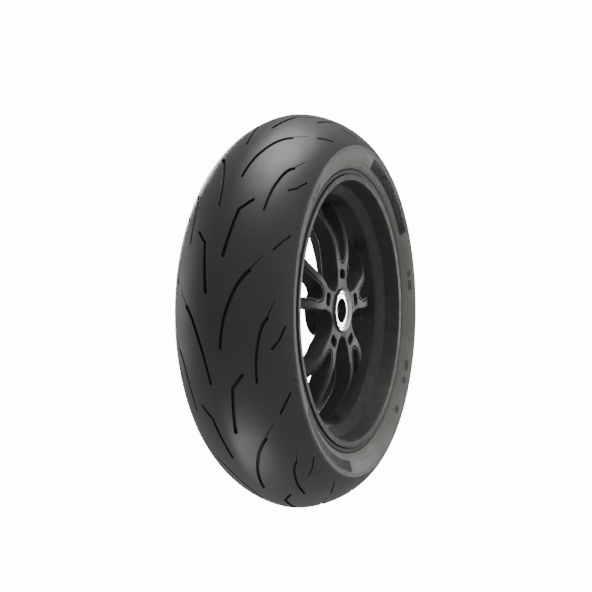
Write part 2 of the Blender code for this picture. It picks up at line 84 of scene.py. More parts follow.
# Each stroke: centre line, half width at its two ends, smooth or kinked.
STROKES = (
    (((10.9, 188.4), (13.2, 185.2), (18.7, 180.6), (26.9, 176.3), (35.0, 173.0), (43.2, 170.7),
      (50.5, 169.2)), (2.24, 2.95), True),
    (((48.0, 169.35), (50.5, 168.85), (59.0, 166.9), (67.8, 164.9)), (1.06, 0.65), True),
    (((11.2, 210.9), (22.1, 198.4), (38.5, 195.1)), (2.95, 2.48), False),
    (((56.5, 197.6), (59.5, 191.4), (65.5, 185.9), (71.3, 182.7), (77.5, 181.1)), (2.01, 2.60),
     True),
    (((76.0, 181.1), (78.0, 180.6), (83.0, 178.5), (88.7, 176.2)), (1.00, 0.65), True),
    (((103.0, 183.6), (93.0, 187.3), (82.0, 189.3)), (1.77, 1.89), False),
    (((100.5, 157.9), (80.0, 162.9)), (1.77, 1.89), False),
)
DOT = ((110.0, 154.4), 1.7)


# ---------------------------------------------------------------- meshes

def place(u, v, n):
    """Row-frame point, in metres, of a wheel point."""
    return Vector((u * MM, -n * MM, v * MM))


def polar(r, angle_deg, n):
    a = math.radians(angle_deg)
    return place(r * math.cos(a), r * math.sin(a), n)


def make_piece(name, mesh, body, nodes, looks):
    obj = bpy.data.objects.new(name, mesh)
    bpy.context.scene.collection.objects.link(obj)
    for look in looks:
        mesh.materials.append(look)
    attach(obj, body)
    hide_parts(*nodes)
    return obj


class Shell:
    """Vertices and faces of one mesh, gathered from several closed surfaces."""

    def __init__(self):
        self.verts, self.faces, self.looks = [], [], []

    def add(self, verts, faces, look=0):
        base = len(self.verts)
        self.verts.extend(verts)
        self.faces.extend(tuple(base + i for i in face) for face in faces)
        self.looks.extend([look] * len(faces) if isinstance(look, int) else look)
        return self

    def mesh(self, name, sharp_deg=35.0):
        mesh = bpy.data.meshes.new(name)
        mesh.from_pydata(self.verts, [], self.faces)
        mesh.polygons.foreach_set("material_index", self.looks)
        mesh.shade_smooth()
        mesh.set_sharp_from_angle(angle=math.radians(sharp_deg))
        mesh.update()
        return mesh


def signed_area(points):
    turned = list(points[1:]) + [points[0]]
    return 0.5 * sum(a[0] * b[1] - b[0] * a[1] for a, b in zip(points, turned))


def fillet(points, radii, steps=4):
    """Round the corners of a closed outline. Radii repeat the last one given."""
    made = []
    count = len(points)
    for i in range(count):
        before, here, after = (Vector(points[j % count]) for j in (i - 1, i, i + 1))
        radius = radii[min(i, len(radii) - 1)]
        to_before, to_after = (before - here), (after - here)
        bend = to_before.angle(to_after)
        if radius <= 0.0 or bend > math.radians(176.0):
            made.append(tuple(here))
            continue
        reach = radius / math.tan(0.5 * bend)
        limit = 0.46 * min(to_before.length, to_after.length)
        if reach > limit:
            radius, reach = radius * limit / reach, limit
        start = here + to_before.normalized() * reach
        end = here + to_after.normalized() * reach
        middle = to_before.normalized() + to_after.normalized()
        centre = here + middle.normalized() * (radius / math.sin(0.5 * bend))
        from_angle = math.atan2(start.y - centre.y, start.x - centre.x)
        sweep = math.atan2(end.y - centre.y, end.x - centre.x) - from_angle
        sweep = (sweep + math.pi) % (2.0 * math.pi) - math.pi
        for k in range(steps + 1):
            a = from_angle + sweep * k / steps
            made.append((centre.x + radius * math.cos(a), centre.y + radius * math.sin(a)))
    return made


def revolve(outline, steps, start=0.0, centre=None):
    """Turn a closed outline of (radius, n) points about the axle: (verts, faces)."""
    if signed_area(outline) < 0.0:
        outline = outline[::-1]
    count = len(outline)
    verts = []
    for k in range(steps):
        angle = start + 360.0 * k / steps
        verts.extend(polar(r, angle, n) for r, n in outline)
    faces = []
    for k in range(steps):
        a, b = k * count, (k + 1) % steps * count
        for i in range(count):
            j = (i + 1) % count
            faces.append((a + i, a + j, b + j, b + i))
    return verts, [face[::-1] for face in faces]


def turn_down(outline, steps, wobble=None):
    """Turn (radius, distance below the axle) points about the valve's axis: (verts, faces).

    Points on the axis become one vertex. wobble(radius, angle) may change a radius."""
    if signed_area(outline) < 0.0:
        outline = outline[::-1]
    verts, rings = [], []
    for r, down in outline:
        if r < 1e-6:
            rings.append([len(verts)] * steps)
            verts.append(Vector((0.0, 0.0, -down * MM)))
            continue
        rings.append(list(range(len(verts), len(verts) + steps)))
        for k in range(steps):
            a = 2.0 * math.pi * k / steps
            radius = wobble(r, a) if wobble else r
            verts.append(Vector((radius * math.cos(a) * MM, radius * math.sin(a) * MM,
                                 -down * MM)))
    faces = []
    for i, ring in enumerate(rings):
        after = rings[(i + 1) % len(rings)]
        for k in range(steps):
            m = (k + 1) % steps
            face = []
            for vertex in (ring[k], after[k], after[m], ring[m]):
                if vertex not in face:
                    face.append(vertex)
            if len(face) > 2:
                faces.append(tuple(face))
    return verts, faces


def triangulate(loops, points):
    """Triangles of a flat region: (points, triangles, loops that hold each, input ids)."""
    verts, faces = [], []
    for loop in loops:
        loop = list(loop) if signed_area(loop) > 0.0 else list(loop)[::-1]
        faces.append(list(range(len(verts), len(verts) + len(loop))))
        verts.extend(Vector(p) for p in loop)
    verts.extend(Vector(p) for p in points)
    out, _, tris, ids, _, held = delaunay_2d_cdt(verts, [], faces, 0, 1e-5)
    return np.array([tuple(v) for v in out]), [tuple(t) for t in tris], held, ids


def clear_of(points, loops, distance):
    """The points that are not within a distance of any loop's own points."""
    line = np.array([p for loop in loops for p in loop])
    kept = []
    for start in range(0, len(points), 400):
        block = np.array(points[start:start + 400])
        gap = np.linalg.norm(block[:, None, :] - line[None, :, :], axis=2).min(axis=1)
        kept.extend(tuple(p) for p, g in zip(block, gap) if g > distance)
    return kept


# ---------------------------------------------------------------- materials

class Look:
    """A Principled material whose colour, roughness and relief vary with noise."""

    def __init__(self, name, colour, roughness, metallic):
        self.material = bpy.data.materials.new(name)
        self.material.use_nodes = True
        self.tree = self.material.node_tree
        self.shader = self.tree.nodes["Principled BSDF"]
        self.set("Base Color", (*colour, 1.0))
        self.set("Roughness", roughness)
        self.set("Metallic", metallic)
        self.colour, self.roughness = colour, roughness
        self.coordinates = self.tree.nodes.new("ShaderNodeTexCoord")

    def set(self, socket, value):
        self.shader.inputs[socket].default_value = value

    def noise(self, scale, detail, stretch=None):
        texture = self.tree.nodes.new("ShaderNodeTexNoise")
        texture.inputs["Scale"].default_value = scale
        texture.inputs["Detail"].default_value = detail
        source = self.coordinates.outputs["Object"]
        if stretch:
            mapping = self.tree.nodes.new("ShaderNodeMapping")
            mapping.inputs["Scale"].default_value = stretch
            self.tree.links.new(source, mapping.inputs["Vector"])
            source = mapping.outputs["Vector"]
        self.tree.links.new(source, texture.inputs["Vector"])
        return texture.outputs["Fac"]

    def mottle(self, scale, amount, stretch):
        """Colour varies by a share of itself."""
        ramp = self.tree.nodes.new("ShaderNodeValToRGB")
        shares = (1.0 - amount, 1.0 + amount)
        for element, position, share in zip(ramp.color_ramp.elements, (0.35, 0.65), shares):
            element.position = position
            element.color = (*(c * share for c in self.colour), 1.0)
        self.tree.links.new(self.noise(scale, 4.0, stretch), ramp.inputs["Fac"])
        self.tree.links.new(ramp.outputs["Color"], self.shader.inputs["Base Color"])

    def polish(self, scale, amount):
        """Roughness varies by an amount either way."""
        span = self.tree.nodes.new("ShaderNodeMapRange")
        span.inputs["From Min"].default_value = 0.3
        span.inputs["From Max"].default_value = 0.7
        span.inputs["To Min"].default_value = max(self.roughness - amount, 0.02)
        span.inputs["To Max"].default_value = min(self.roughness + amount, 1.0)
        self.tree.links.new(self.noise(scale, 3.0), span.inputs["Value"])
        self.tree.links.new(span.outputs["Result"], self.shader.inputs["Roughness"])

    def relief(self, scale, distance_mm, strength, stretch):
        """Fine bumps."""
        bump = self.tree.nodes.new("ShaderNodeBump")
        bump.inputs["Strength"].default_value = strength
        bump.inputs["Distance"].default_value = distance_mm * MM
        self.tree.links.new(self.noise(scale, 3.0, stretch), bump.inputs["Height"])
        self.tree.links.new(bump.outputs["Normal"], self.shader.inputs["Normal"])


# Key: name, colour, roughness, metallic, mottling (scale, share), polish (scale, amount),
# relief (scale, distance in mm, strength), how the mottling and the relief are stretched.
ALONG, PLY_ALONG = (1.0, 0.1, 1.0), (1.0, 0.2, 1.0)
LOOKS = {
    "tread": ("tread_rubber", (0.026, 0.026, 0.0265), 0.42, 0.0, (9.0, 0.10), (25.0, 0.04),
              (1400.0, 0.04, 0.25), None, None),
    "groove": ("tread_groove_rubber", (0.012, 0.012, 0.012), 0.7, 0.0, (40.0, 0.15), None,
               (900.0, 0.05, 0.3), None, None),
    "sidewall": ("sidewall_rubber", (0.105, 0.1, 0.092), 0.55, 0.0, (12.0, 0.08), (30.0, 0.05),
                 (1500.0, 0.03, 0.25), None, None),
    "mark": ("sidewall_mark_rubber", (0.02, 0.02, 0.02), 0.5, 0.0, (60.0, 0.12), None,
             (1500.0, 0.03, 0.25), None, None),
    "inner": ("inner_rubber", (0.03, 0.03, 0.032), 0.6, 0.0, (25.0, 0.15), (30.0, 0.06),
              (500.0, 0.1, 0.4), None, None),
    "steel_cord": ("steel_cord", (0.42, 0.34, 0.24), 0.38, 1.0, (300.0, 0.2), None,
                   (1200.0, 0.1, 0.5), ALONG, ALONG),
    "ply": ("ply_cord", (0.15, 0.13, 0.1), 0.8, 0.0, (200.0, 0.2), None,
            (900.0, 0.15, 0.6), PLY_ALONG, PLY_ALONG),
    "wheel": ("wheel_paint", (0.042, 0.0415, 0.04), 0.48, 0.0, (70.0, 0.12), (40.0, 0.05),
              (1300.0, 0.04, 0.3), None, None),
    # Hub mouth: light machined alloy, made near-white, matt and barely metallic as a painted
    # reflection of the bright backdrop.
    "machined": ("machined_alloy", (0.88, 0.88, 0.88), 0.5, 0.1, (60.0, 0.05), (150.0, 0.05),
                 (2000.0, 0.01, 0.2), None, (1.0, 6.0, 1.0)),
    "steel": ("bearing_steel", (0.75, 0.75, 0.76), 0.16, 1.0, (40.0, 0.05), (200.0, 0.04),
              (2500.0, 0.01, 0.2), None, (1.0, 4.0, 1.0)),
    # Bearing bore and spacer: steel painted near-black as the shade inside the hub's hole.
    "bore": ("oiled_bore_steel", (0.06, 0.06, 0.065), 0.45, 0.8, (90.0, 0.2), (120.0, 0.08),
             (1500.0, 0.02, 0.2), None, None),
    "cage": ("cage_steel", (0.5, 0.48, 0.44), 0.35, 1.0, (150.0, 0.1), (200.0, 0.06),
             (900.0, 0.02, 0.3), None, None),
    "spring": ("spring_steel", (0.06, 0.06, 0.065), 0.38, 1.0, (150.0, 0.2), (200.0, 0.06),
               (900.0, 0.02, 0.3), None, None),
    "seal": ("seal_rubber", (0.03, 0.03, 0.032), 0.5, 0.0, (100.0, 0.1), (90.0, 0.05),
             (900.0, 0.03, 0.3), None, None),
    "brass": ("brass", (0.78, 0.6, 0.32), 0.28, 1.0, (200.0, 0.08), (300.0, 0.06),
              (1500.0, 0.01, 0.2), None, None),
    "nickel": ("nickel", (0.66, 0.64, 0.6), 0.24, 1.0, (150.0, 0.06), (300.0, 0.05),
               (1500.0, 0.01, 0.2), None, None),
    "plastic": ("cap_plastic", (0.022, 0.022, 0.023), 0.42, 0.0, (150.0, 0.12), (200.0, 0.06),
                (1500.0, 0.03, 0.3), None, None),
}
SHINE = {"sidewall": 0.2, "mark": 0.2, "wheel": 0.12}


def make_looks():
    looks = {}
    for key, (name, colour, roughness, metallic, *rest) in LOOKS.items():
        mottling, polish, relief, mottling_stretch, relief_stretch = rest
        look = Look(name, colour, roughness, metallic)
        look.mottle(*mottling, mottling_stretch)
        if polish:
            look.polish(*polish)
        look.relief(*relief, relief_stretch)
        if key in SHINE:
            look.set("Specular IOR Level", SHINE[key])
        looks[key] = look.material
    return looks


# ---------------------------------------------------------------- tyre section

def section_tables():
    """Arc length from the crown, radius, n and outward normal along the outer section."""
    t = np.radians(np.linspace(0.0, 90.0, 6001))
    power = 2.0 / POWER
    across, rise = np.sin(t) ** power, np.maximum(np.cos(t), 0.0) ** power
    r, n = TREAD_FOOT_R + CROWN_RISE * rise, TREAD_N * across
    normal = np.stack([rise ** (POWER - 1.0) / CROWN_RISE, across ** (POWER - 1.0) / TREAD_N])
    normal /= np.linalg.norm(normal, axis=0)
    arc = np.concatenate([[0.0], np.cumsum(np.hypot(np.diff(r), np.diff(n)))])
    return arc, r, n, normal, np.degrees(t)


ARC, SECTION_R, SECTION_N, SECTION_NORMAL, SECTION_T = section_tables()
RIDGE_ARC = float(np.interp(RIDGE_ANGLE, SECTION_T, ARC))


def section(arc):
    """(radius, n, normal's radial share, normal's n share) at arc lengths from the crown."""
    return (np.interp(arc, ARC, SECTION_R), np.interp(arc, ARC, SECTION_N),
            np.interp(arc, ARC, SECTION_NORMAL[0]), np.interp(arc, ARC, SECTION_NORMAL[1]))


def tread_depth(arc):
    """Depth of the tread's underside, which lies just over the belt."""
    angle = np.interp(arc, ARC, SECTION_T)
    return 10.1 - 5.3 * (angle / 90.0) ** 2 - 2.1


# ---------------------------------------------------------------- tread

def resample(points, spacing, smooth):
    points = np.array(points, float)
    if smooth:
        ends = (2.0 * points[0] - points[1], 2.0 * points[-1] - points[-2])
        padded = np.vstack([ends[0], points, ends[1]])
        dense = []
        for a, b, c, d in zip(padded, padded[1:], padded[2:], padded[3:]):
            for t in np.linspace(0.0, 1.0, 12, endpoint=False):
                dense.append(0.5 * (2.0 * b + (c - a) * t + (2.0 * a - 5.0 * b + 4.0 * c - d)
                                    * t * t + (3.0 * b - a - 3.0 * c + d) * t ** 3))
        points = np.array(dense + [points[-1]])
    run = np.concatenate([[0.0], np.cumsum(np.linalg.norm(np.diff(points, axis=0), axis=1))])
    if smooth:
        stops = np.linspace(0.0, run[-1], max(int(run[-1] / spacing), 2) + 1)
    else:
        stops = [0.0]
        for a, b in zip(run, run[1:]):
            stops.extend(np.linspace(a, b, max(int((b - a) / spacing), 1) + 1)[1:])
    return np.stack([np.interp(stops, run, points[:, k]) for k in (0, 1)], axis=1)


def stroke_loop(line, widths, shrink):
    """Closed outline of a stroke with round ends, on a plane in millimetres."""
    run = np.concatenate([[0.0], np.cumsum(np.linalg.norm(np.diff(line, axis=0), axis=1))])
    half = np.interp(run, (0.0, run[-1]), widths) - shrink
    way = np.diff(line, axis=0)
    way /= np.linalg.norm(way, axis=1)[:, None]
    before, after = np.vstack([way[:1], way]), np.vstack([way, way[-1:]])
    bisector = before + after
    bisector /= np.linalg.norm(bisector, axis=1)[:, None]
    reach = half / np.maximum((bisector * after).sum(axis=1), 0.5)
    side = np.stack([-bisector[:, 1], bisector[:, 0]], axis=1) * reach[:, None]
    loop = [tuple(p) for p in line + side]
    for sign, end in ((1.0, -1), (-1.0, 0)):
        out, across = sign * bisector[end], side[end] / reach[end]
        for turn in (0.5 * sign, 0.0, -0.5 * sign):
            loop.append(tuple(line[end] + half[end] * (out * math.cos(turn * 2.1)
                                                       + across * math.sin(turn * 2.1))))
        if end == -1:
            loop.extend(tuple(p) for p in (line - side)[::-1])
    return loop


def tile_loops():
    """Outer and inner outlines of one pitch's grooves, on the (arc, angle in mm) plane."""
    scale = np.array((1.0, PLANE_MM_PER_DEG))
    outer, inner = [], []
    for points, widths, smooth in STROKES:
        line = resample(np.array(points) * scale, 2.6, smooth)
        outer.append(stroke_loop(line, widths, 0.0))
        inner.append(stroke_loop(line, widths, min(LIP, 0.55 * min(widths))))
    centre, radius = np.array(DOT[0]) * scale, DOT[1]
    for loops, size in ((outer, radius), (inner, radius - LIP)):
        loops.append([tuple(centre + size * np.array((math.cos(a), math.sin(a))))
                      for a in np.linspace(0.0, 2.0 * math.pi, 10, endpoint=False)])
    return outer, inner


def tile():
    """One pitch of half the tread: plane points, depths, wall directions, faces and kinds."""
    arcs = np.linspace(0.0, RIDGE_ARC, ROWS + 1)
    low = np.interp(arcs, *np.array(TILE_EDGE).T)
    steps = int(round(PITCH / STEP))
    edge = [(s, a) for s, a in zip(arcs, low)]
    edge += [(arcs[-1], low[-1] + STEP * k) for k in range(1, steps)]
    edge += [(s, a + PITCH) for s, a in zip(arcs[::-1], low[::-1])]
    edge += [(arcs[0], low[0] + PITCH - STEP * k) for k in range(1, steps)]
    edge = [(s, a * PLANE_MM_PER_DEG) for s, a in edge]
    inside = [(s, (a + STEP * k) * PLANE_MM_PER_DEG) for s, a in zip(arcs[1:-1], low[1:-1])
              for k in range(1, steps)]
    outer, inner = tile_loops()
    loops = [edge] + outer + inner
    points, tris, held, _ = triangulate(loops, clear_of(inside, outer + inner, 2.3))
    first_inner = 1 + len(outer)
    kinds, kept = [], []
    for tri, inside_of in zip(tris, held):
        if 0 in inside_of:
            kept.append(tri)
            kinds.append(1 if any(i >= first_inner for i in inside_of) else 0)
    sides = {}
    for tri, kind in zip(kept, kinds):
        for a, b in zip(tri, tri[1:] + tri[:1]):
            sides.setdefault((min(a, b), max(a, b)), []).append((kind, a, b))
    walls = []
    toward = np.zeros_like(points)
    for faces in sides.values():
        if len(faces) == 2 and faces[0][0] != faces[1][0]:
            _, a, b = next(f for f in faces if f[0] == 1)
            along = points[b] - points[a]
            across = np.array((-along[1], along[0])) / np.linalg.norm(along)
            toward[a] += across
            toward[b] += across
            walls.append((a, b))
    length = np.linalg.norm(toward, axis=1)
    on_wall = length > 1e-9
    toward[on_wall] /= length[on_wall][:, None]
    return points, kept, kinds, walls, toward, on_wall


def make_tread(looks):
    """Eight pitches on each side, with real grooves, closed by an underside."""
    points, tris, kinds, walls, toward, on_wall = tile()
    arc, angle = points[:, 0], points[:, 1] / PLANE_MM_PER_DEG
    r, n, normal_r, normal_n = section(arc)
    floor = FLOOR_SHARE * tread_depth(arc)
    top_depth = np.where(on_wall, LIP_DROP, 0.0)
    count = len(points)
    floor_id = np.full(count, -1)
    for tri, kind in zip(tris, kinds):
        if kind == 1:
            floor_id[list(tri)] = 0
    used = np.flatnonzero(floor_id == 0)
    floor_id[used] = count + np.arange(len(used))
    source = np.concatenate([np.arange(count), used])
    depth = np.concatenate([top_depth, floor[used]])
    slope = np.stack([normal_n, -normal_r])
    faces, corner_kind, face_looks = [], [], []
    for tri, kind in zip(tris, kinds):
        if kind == 1:
            faces.append(tuple(int(floor_id[v]) for v in tri))
            corner_kind.append((0, 0, 0))
            face_looks.append(1)
        else:
            faces.append(tri)
            corner_kind.append(tuple(1 if on_wall[v] else 0 for v in tri))
            face_looks.append(0)
    for a, b in walls:
        faces.append((a, b, int(floor_id[b]), int(floor_id[a])))
        corner_kind.append((2, 2, 2, 2))
        face_looks.append(1)
    verts, normals, all_faces, all_looks = [], [], [], []
    for side in (1.0, -1.0):
        for pitch in range(int(360.0 / PITCH)):
            shift = PITCH * pitch + (LEFT_SHIFT if side < 0.0 else 0.0)
            a = np.radians(angle + shift)
            ring = np.stack([np.cos(a), np.zeros(count), np.sin(a)], axis=1)
            along = np.stack([-np.sin(a), np.zeros(count), np.cos(a)], axis=1)
            axle = np.array((0.0, -side, 0.0))
            surface = ring * r[:, None] + axle * n[:, None]
            outward = ring * normal_r[:, None] + axle * normal_n[:, None]
            lateral = -ring * slope[0][:, None] - axle * slope[1][:, None]
            wall = lateral * toward[:, :1] + along * toward[:, 1:]
            base = sum(len(v) for v in verts)
            verts.append(surface[source] - outward[source] * depth[:, None])
            by_kind = (outward, 0.55 * outward + 0.84 * wall, wall)
            for face, kind in zip(faces, corner_kind):
                turn = slice(None, None, -1) if side > 0.0 else slice(None)
                all_faces.append(tuple(base + v for v in face[turn]))
                normals.extend(by_kind[k][source[v]] for v, k in zip(face[turn], kind[turn]))
            all_looks.extend(face_looks)
    verts = np.concatenate(verts)
    # The underside and the two edges.
    steps = int(round(360.0 / STEP))
    arcs = np.linspace(-RIDGE_ARC, RIDGE_ARC, 17)
    ur, un, unr, unn = section(np.abs(arcs))
    depth = tread_depth(np.abs(arcs))
    under = np.stack([ur - unr * depth, np.sign(arcs) * (un - unn * depth)], axis=1)
    edge = np.stack([ur[[0, -1]], np.array((-1.0, 1.0)) * un[[0, -1]]], axis=1)
    profile = np.vstack([edge[:1], under, edge[1:]])
    base, rows = len(verts), len(profile)
    a = np.radians(np.arange(steps) * STEP)
    rings = np.stack([np.outer(np.cos(a), profile[:, 0]), -np.tile(profile[:, 1], (steps, 1)),
                      np.outer(np.sin(a), profile[:, 0])], axis=2)
    verts = np.vstack([verts, rings.reshape(-1, 3)])
    bend = np.gradient(under, axis=0)
    facing = np.stack([-np.abs(bend[:, 1]), bend[:, 0]], axis=1)
    facing /= np.linalg.norm(facing, axis=1)[:, None]
    skirt = ((0.0, -1.0), (0.0, 1.0))
    for k in range(steps):
        m = (k + 1) % steps
        for i in range(rows - 1):
            all_faces.append((base + k * rows + i, base + m * rows + i,
                              base + m * rows + i + 1, base + k * rows + i + 1))
            all_looks.append(1)
            for turn, j in ((k, i), (m, i), (m, i + 1), (k, i + 1)):
                if i == 0:
                    radial, side = skirt[0]
                elif i == rows - 2:
                    radial, side = skirt[1]
                else:
                    radial, side = facing[j - 1]
                c, s = math.cos(a[turn]), math.sin(a[turn])
                normals.append((radial * c, -side, radial * s))
    key = np.round(verts * 500.0 + 0.137).astype(np.int64)
    _, first, back = np.unique(key, axis=0, return_index=True, return_inverse=True)
    back = back.reshape(-1)
    mesh = bpy.data.meshes.new("tread_skin")
    mesh.from_pydata((verts[first] * MM).tolist(), [],
                     [tuple(int(back[v]) for v in face) for face in all_faces])
    mesh.polygons.foreach_set("material_index", all_looks)
    mesh.shade_smooth()
    normals = np.array(normals)
    normals /= np.linalg.norm(normals, axis=1)[:, None]
    mesh.normals_split_custom_set(normals.tolist())
    return make_piece("tread_skin", mesh, "wheel", ["tread"],
                      [looks["tread"], looks["groove"]])


# ---------------------------------------------------------------- sidewalls

RIM_EDGE_OUTLINE = ((232.4, 78.4), (230.75, 76.6), (227.3, 75.9), (227.3, 73.9), (230.3, 73.9),
                    (232.5, 73.5), (239.37, 77.29), (253.97, 85.47), (266.5, 90.6))
# Radius, height and width of the moulded ridge at the top and the fine ribs round the sidewall.
RIBS = ((268.9, 0.6, 0.7), (264.4, 0.3, 0.5), (246.0, 0.25, 0.5), (238.6, 0.35, 0.55),
        (236.3, 0.35, 0.55))


def sidewall_curve(share):
    """Point and outward normal of the sidewall: share 0 is at the ridge, 1 at the rim."""
    ends = np.array(SIDEWALL_CURVE)
    rest = 1.0 - share
    point = (ends[0] * rest ** 3 + ends[1] * 3.0 * rest ** 2 * share
             + ends[2] * 3.0 * rest * share ** 2 + ends[3] * share ** 3)
    run = ((ends[1] - ends[0]) * rest ** 2 + (ends[2] - ends[1]) * 2.0 * rest * share
           + (ends[3] - ends[2]) * share ** 2)
    normal = np.array((run[1], -run[0]))
    return point, normal / np.linalg.norm(normal)


def sidewall_tables():
    """Points and normals of the outer sidewall from the ridge to the foot."""
    points, normals = [], []
    for offset in (0.3, 0.5):
        r, n, normal_r, normal_n = section(RIDGE_ARC + offset)
        points.append((r, n))
        normals.append((normal_r, normal_n))
    for share in np.concatenate([np.linspace(0.0, 0.16, 17), np.linspace(0.18, 1.0, 67)]):
        point, normal = sidewall_curve(share)
        lift = sum(h * math.exp(-((point[0] - at) / width) ** 2) for at, h, width in RIBS)
        points.append(tuple(point + normal * lift))
        normals.append(tuple(normal))
    return np.array(points), np.array(normals)


WALL, WALL_NORMAL = sidewall_tables()


def on_sidewall(r, raised):
    """(radius, n) of the sidewall at a radius, raised above its surface."""
    order = slice(None, None, -1)
    n = np.interp(r, WALL[order, 0], WALL[order, 1])
    normal = [np.interp(r, WALL[order, 0], WALL_NORMAL[order, k]) for k in (0, 1)]
    return r + normal[0] * raised, n + normal[1] * raised


def slab_faces(columns, rows):
    """Faces of a slab whose top points, a column at a time, come before its under points."""
    faces = []
    width, base = rows + 1, (columns + 1) * (rows + 1)
    for j in range(columns):
        for i in range(rows):
            a = j * width + i
            faces.append((a, a + 1, a + width + 1, a + width))
            faces.append((base + a, base + a + width, base + a + width + 1, base + a + 1))
    border = [i for i in range(rows)] + [j * width + rows for j in range(columns)]
    border += [columns * width + i for i in range(rows, 0, -1)]
    border += [j * width for j in range(columns, 0, -1)]
    for a, b in zip(border, border[1:] + border[:1]):
        faces.append((a, base + a, base + b, b))
    return faces


def plate(shell, side, radii, angles, height, rows, columns, ribs=0):
    """A thin moulded patch on a sidewall, sunk a little into it, with optional fine ribs."""
    columns = columns if ribs == 0 else ribs * 4
    top, under = [], []
    for j in range(columns + 1):
        for i in range(rows + 1):
            r = radii[0] + (radii[1] - radii[0]) * i / rows
            angle = angles[0] + (angles[1] - angles[0]) * j / columns
            lift = height
            if ribs and j % 4 in (1, 2) and 0 < i < rows:
                lift += 0.35
            inset = 0.15 if i in (0, rows) or j in (0, columns) else 0.0
            for made, rise in ((top, lift - inset), (under, -0.4)):
                rr, n = on_sidewall(r, rise)
                made.append(polar(rr, angle, side * n))
    faces = slab_faces(columns, rows)
    ahead = (angles[1] > angles[0]) == (radii[1] > radii[0])
    if ahead == (side > 0.0):
        faces = [face[::-1] for face in faces]
    shell.add(top + under, [face[::-1] for face in faces], 1)


def make_sidewall(name, side, body_node, looks):
    """Sidewall skin with its ridge, fine ribs, ribbed patches and short moulded bars."""
    outline = [tuple(p) for p in WALL] + list(RIM_EDGE_OUTLINE)
    shell = Shell()
    verts, faces = revolve([(r, side * n) for r, n in outline], 300)
    shell.add(verts, faces)
    for first, last in ((34.0, 79.0), (214.0, 259.0)):
        plate(shell, side, (243.5, 261.5), (first, last), 0.3, 6, 40, ribs=90)
    for centre, width in ((8.0, 4.4), (14.0, 2.6), (-27.0, 4.4), (-33.0, 2.6), (-48.0, 3.4),
                          (132.0, 4.4), (138.0, 2.6), (160.0, 3.4)):
        for radii in ((248.6, 251.0), (253.2, 255.6)):
            plate(shell, side, radii, (centre, centre + width), 0.45, 2, 6)
    return make_piece(name, shell.mesh(name), "wheel", [body_node],
                      [looks["sidewall"], looks["mark"]])


# ---------------------------------------------------------------- cast wheel

ARMS = 5
FIRST_ARM = 18.0
FACE_N = 56.3
DISH = (96.0, 187.0, 39.3, 1.9)
ARM_THICKNESS = (29.0, 26.0, 195.0)
STAR_R = 195.6
BARREL_R = 193.0
MOUTH_R = 34.3
COLLAR_R = 36.6
COLLAR_N = 59.4
SHOULDERS_N = (24.3, 39.7)
FORK = ((83.0, 0.0), (91.0, 9.0), (118.0, 15.0), (143.0, 24.0), (184.0, 49.0), (200.0, 59.0))
BAY = ((44.0, 0.0), (60.5, 20.5), (81.0, 28.0), (115.0, 42.7), (141.5, 48.5), (178.4, 46.8),
       (200.0, 43.6))
POCKET = (61.0, 7.5, 10.5, 5.0, 16.0)
EDGE_ROUND = ((0.0, 2.2), (0.3, 1.1), (1.1, 0.3), (2.2, 0.0))
RIB_AND_GROOVE = ((0.0, 1.2), (0.17, 0.6), (0.6, 0.17), (1.2, 0.0), (2.4, 0.0), (2.8, 3.6),
                  (5.2, 3.6), (5.6, 0.0))
POCKET_EDGE = ((0.0, 1.2), (0.17, 0.6), (0.6, 0.17), (1.2, 0.0))


def dish(r):
    start, reference, drop, power = DISH
    return FACE_N - drop * (np.maximum(r - start, 0.0) / (reference - start)) ** power


def arm_thickness(r):
    at_hub, at_rim, rim_r = ARM_THICKNESS
    return at_hub + (at_rim - at_hub) * np.maximum(r - DISH[0], 0.0) / (rim_r - DISH[0])


def bezier_loop(half, resolution):
    """A smooth closed outline through half an outline and its mirror image."""
    full = list(half) + [(x, -y) for x, y in half[:0:-1]]
    curve = bpy.data.curves.new("outline", "CURVE")
    curve.dimensions = "2D"
    curve.resolution_u = resolution
    spline = curve.splines.new("BEZIER")
    spline.bezier_points.add(len(full) - 1)
    for made, (x, y) in zip(spline.bezier_points, full):
        made.co = (x, y, 0.0)
        handle = "VECTOR" if abs(x - half[-1][0]) < 1e-6 else "AUTO"
        made.handle_left_type = handle
        made.handle_right_type = handle
    spline.use_cyclic_u = True
    obj = bpy.data.objects.new("outline", curve)
    bpy.context.scene.collection.objects.link(obj)
    bpy.context.view_layer.update()
    mesh = bpy.data.meshes.new_from_object(obj.evaluated_get(
        bpy.context.evaluated_depsgraph_get()))
    loop = [(v.co.x, v.co.y) for v in mesh.vertices]
    bpy.data.objects.remove(obj, do_unlink=True)
    bpy.data.curves.remove(curve)
    bpy.data.meshes.remove(mesh)
    return np.array(loop)


def even(loop, spacing, longest):
    """Points along a closed loop, close where it bends and wider where it is straight."""
    closed = np.vstack([loop, loop[:1]])
    run = np.concatenate([[0.0], np.cumsum(np.linalg.norm(np.diff(closed, axis=0), axis=1))])
    way = np.diff(closed, axis=0)
    heading = np.unwrap(np.arctan2(way[:, 1], way[:, 0]))
    bend = np.abs(np.diff(np.concatenate([heading, heading[:1] + 2 * math.pi
                                          * np.sign(heading[-1] - heading[0])])))
    cost = np.maximum(np.diff(run) / longest, bend / math.radians(9.0))
    total = np.concatenate([[0.0], np.cumsum(cost)])
    stops = np.interp(np.arange(int(total[-1])) * total[-1] / int(total[-1]), total, run)
    return np.stack([np.interp(stops, run, closed[:, k]) for k in (0, 1)], axis=1)


def grown(loop, distance):
    """A closed loop moved outwards by a distance."""
    if signed_area([tuple(p) for p in loop]) < 0.0:
        loop = loop[::-1]
    before = loop - np.roll(loop, 1, axis=0)
    after = np.roll(loop, -1, axis=0) - loop
    before /= np.linalg.norm(before, axis=1)[:, None]
    after /= np.linalg.norm(after, axis=1)[:, None]
    middle = before + after
    middle /= np.linalg.norm(middle, axis=1)[:, None]
    reach = distance / np.maximum((middle * after).sum(axis=1), 0.6)
    return loop + np.stack([middle[:, 1], -middle[:, 0]], axis=1) * reach[:, None]


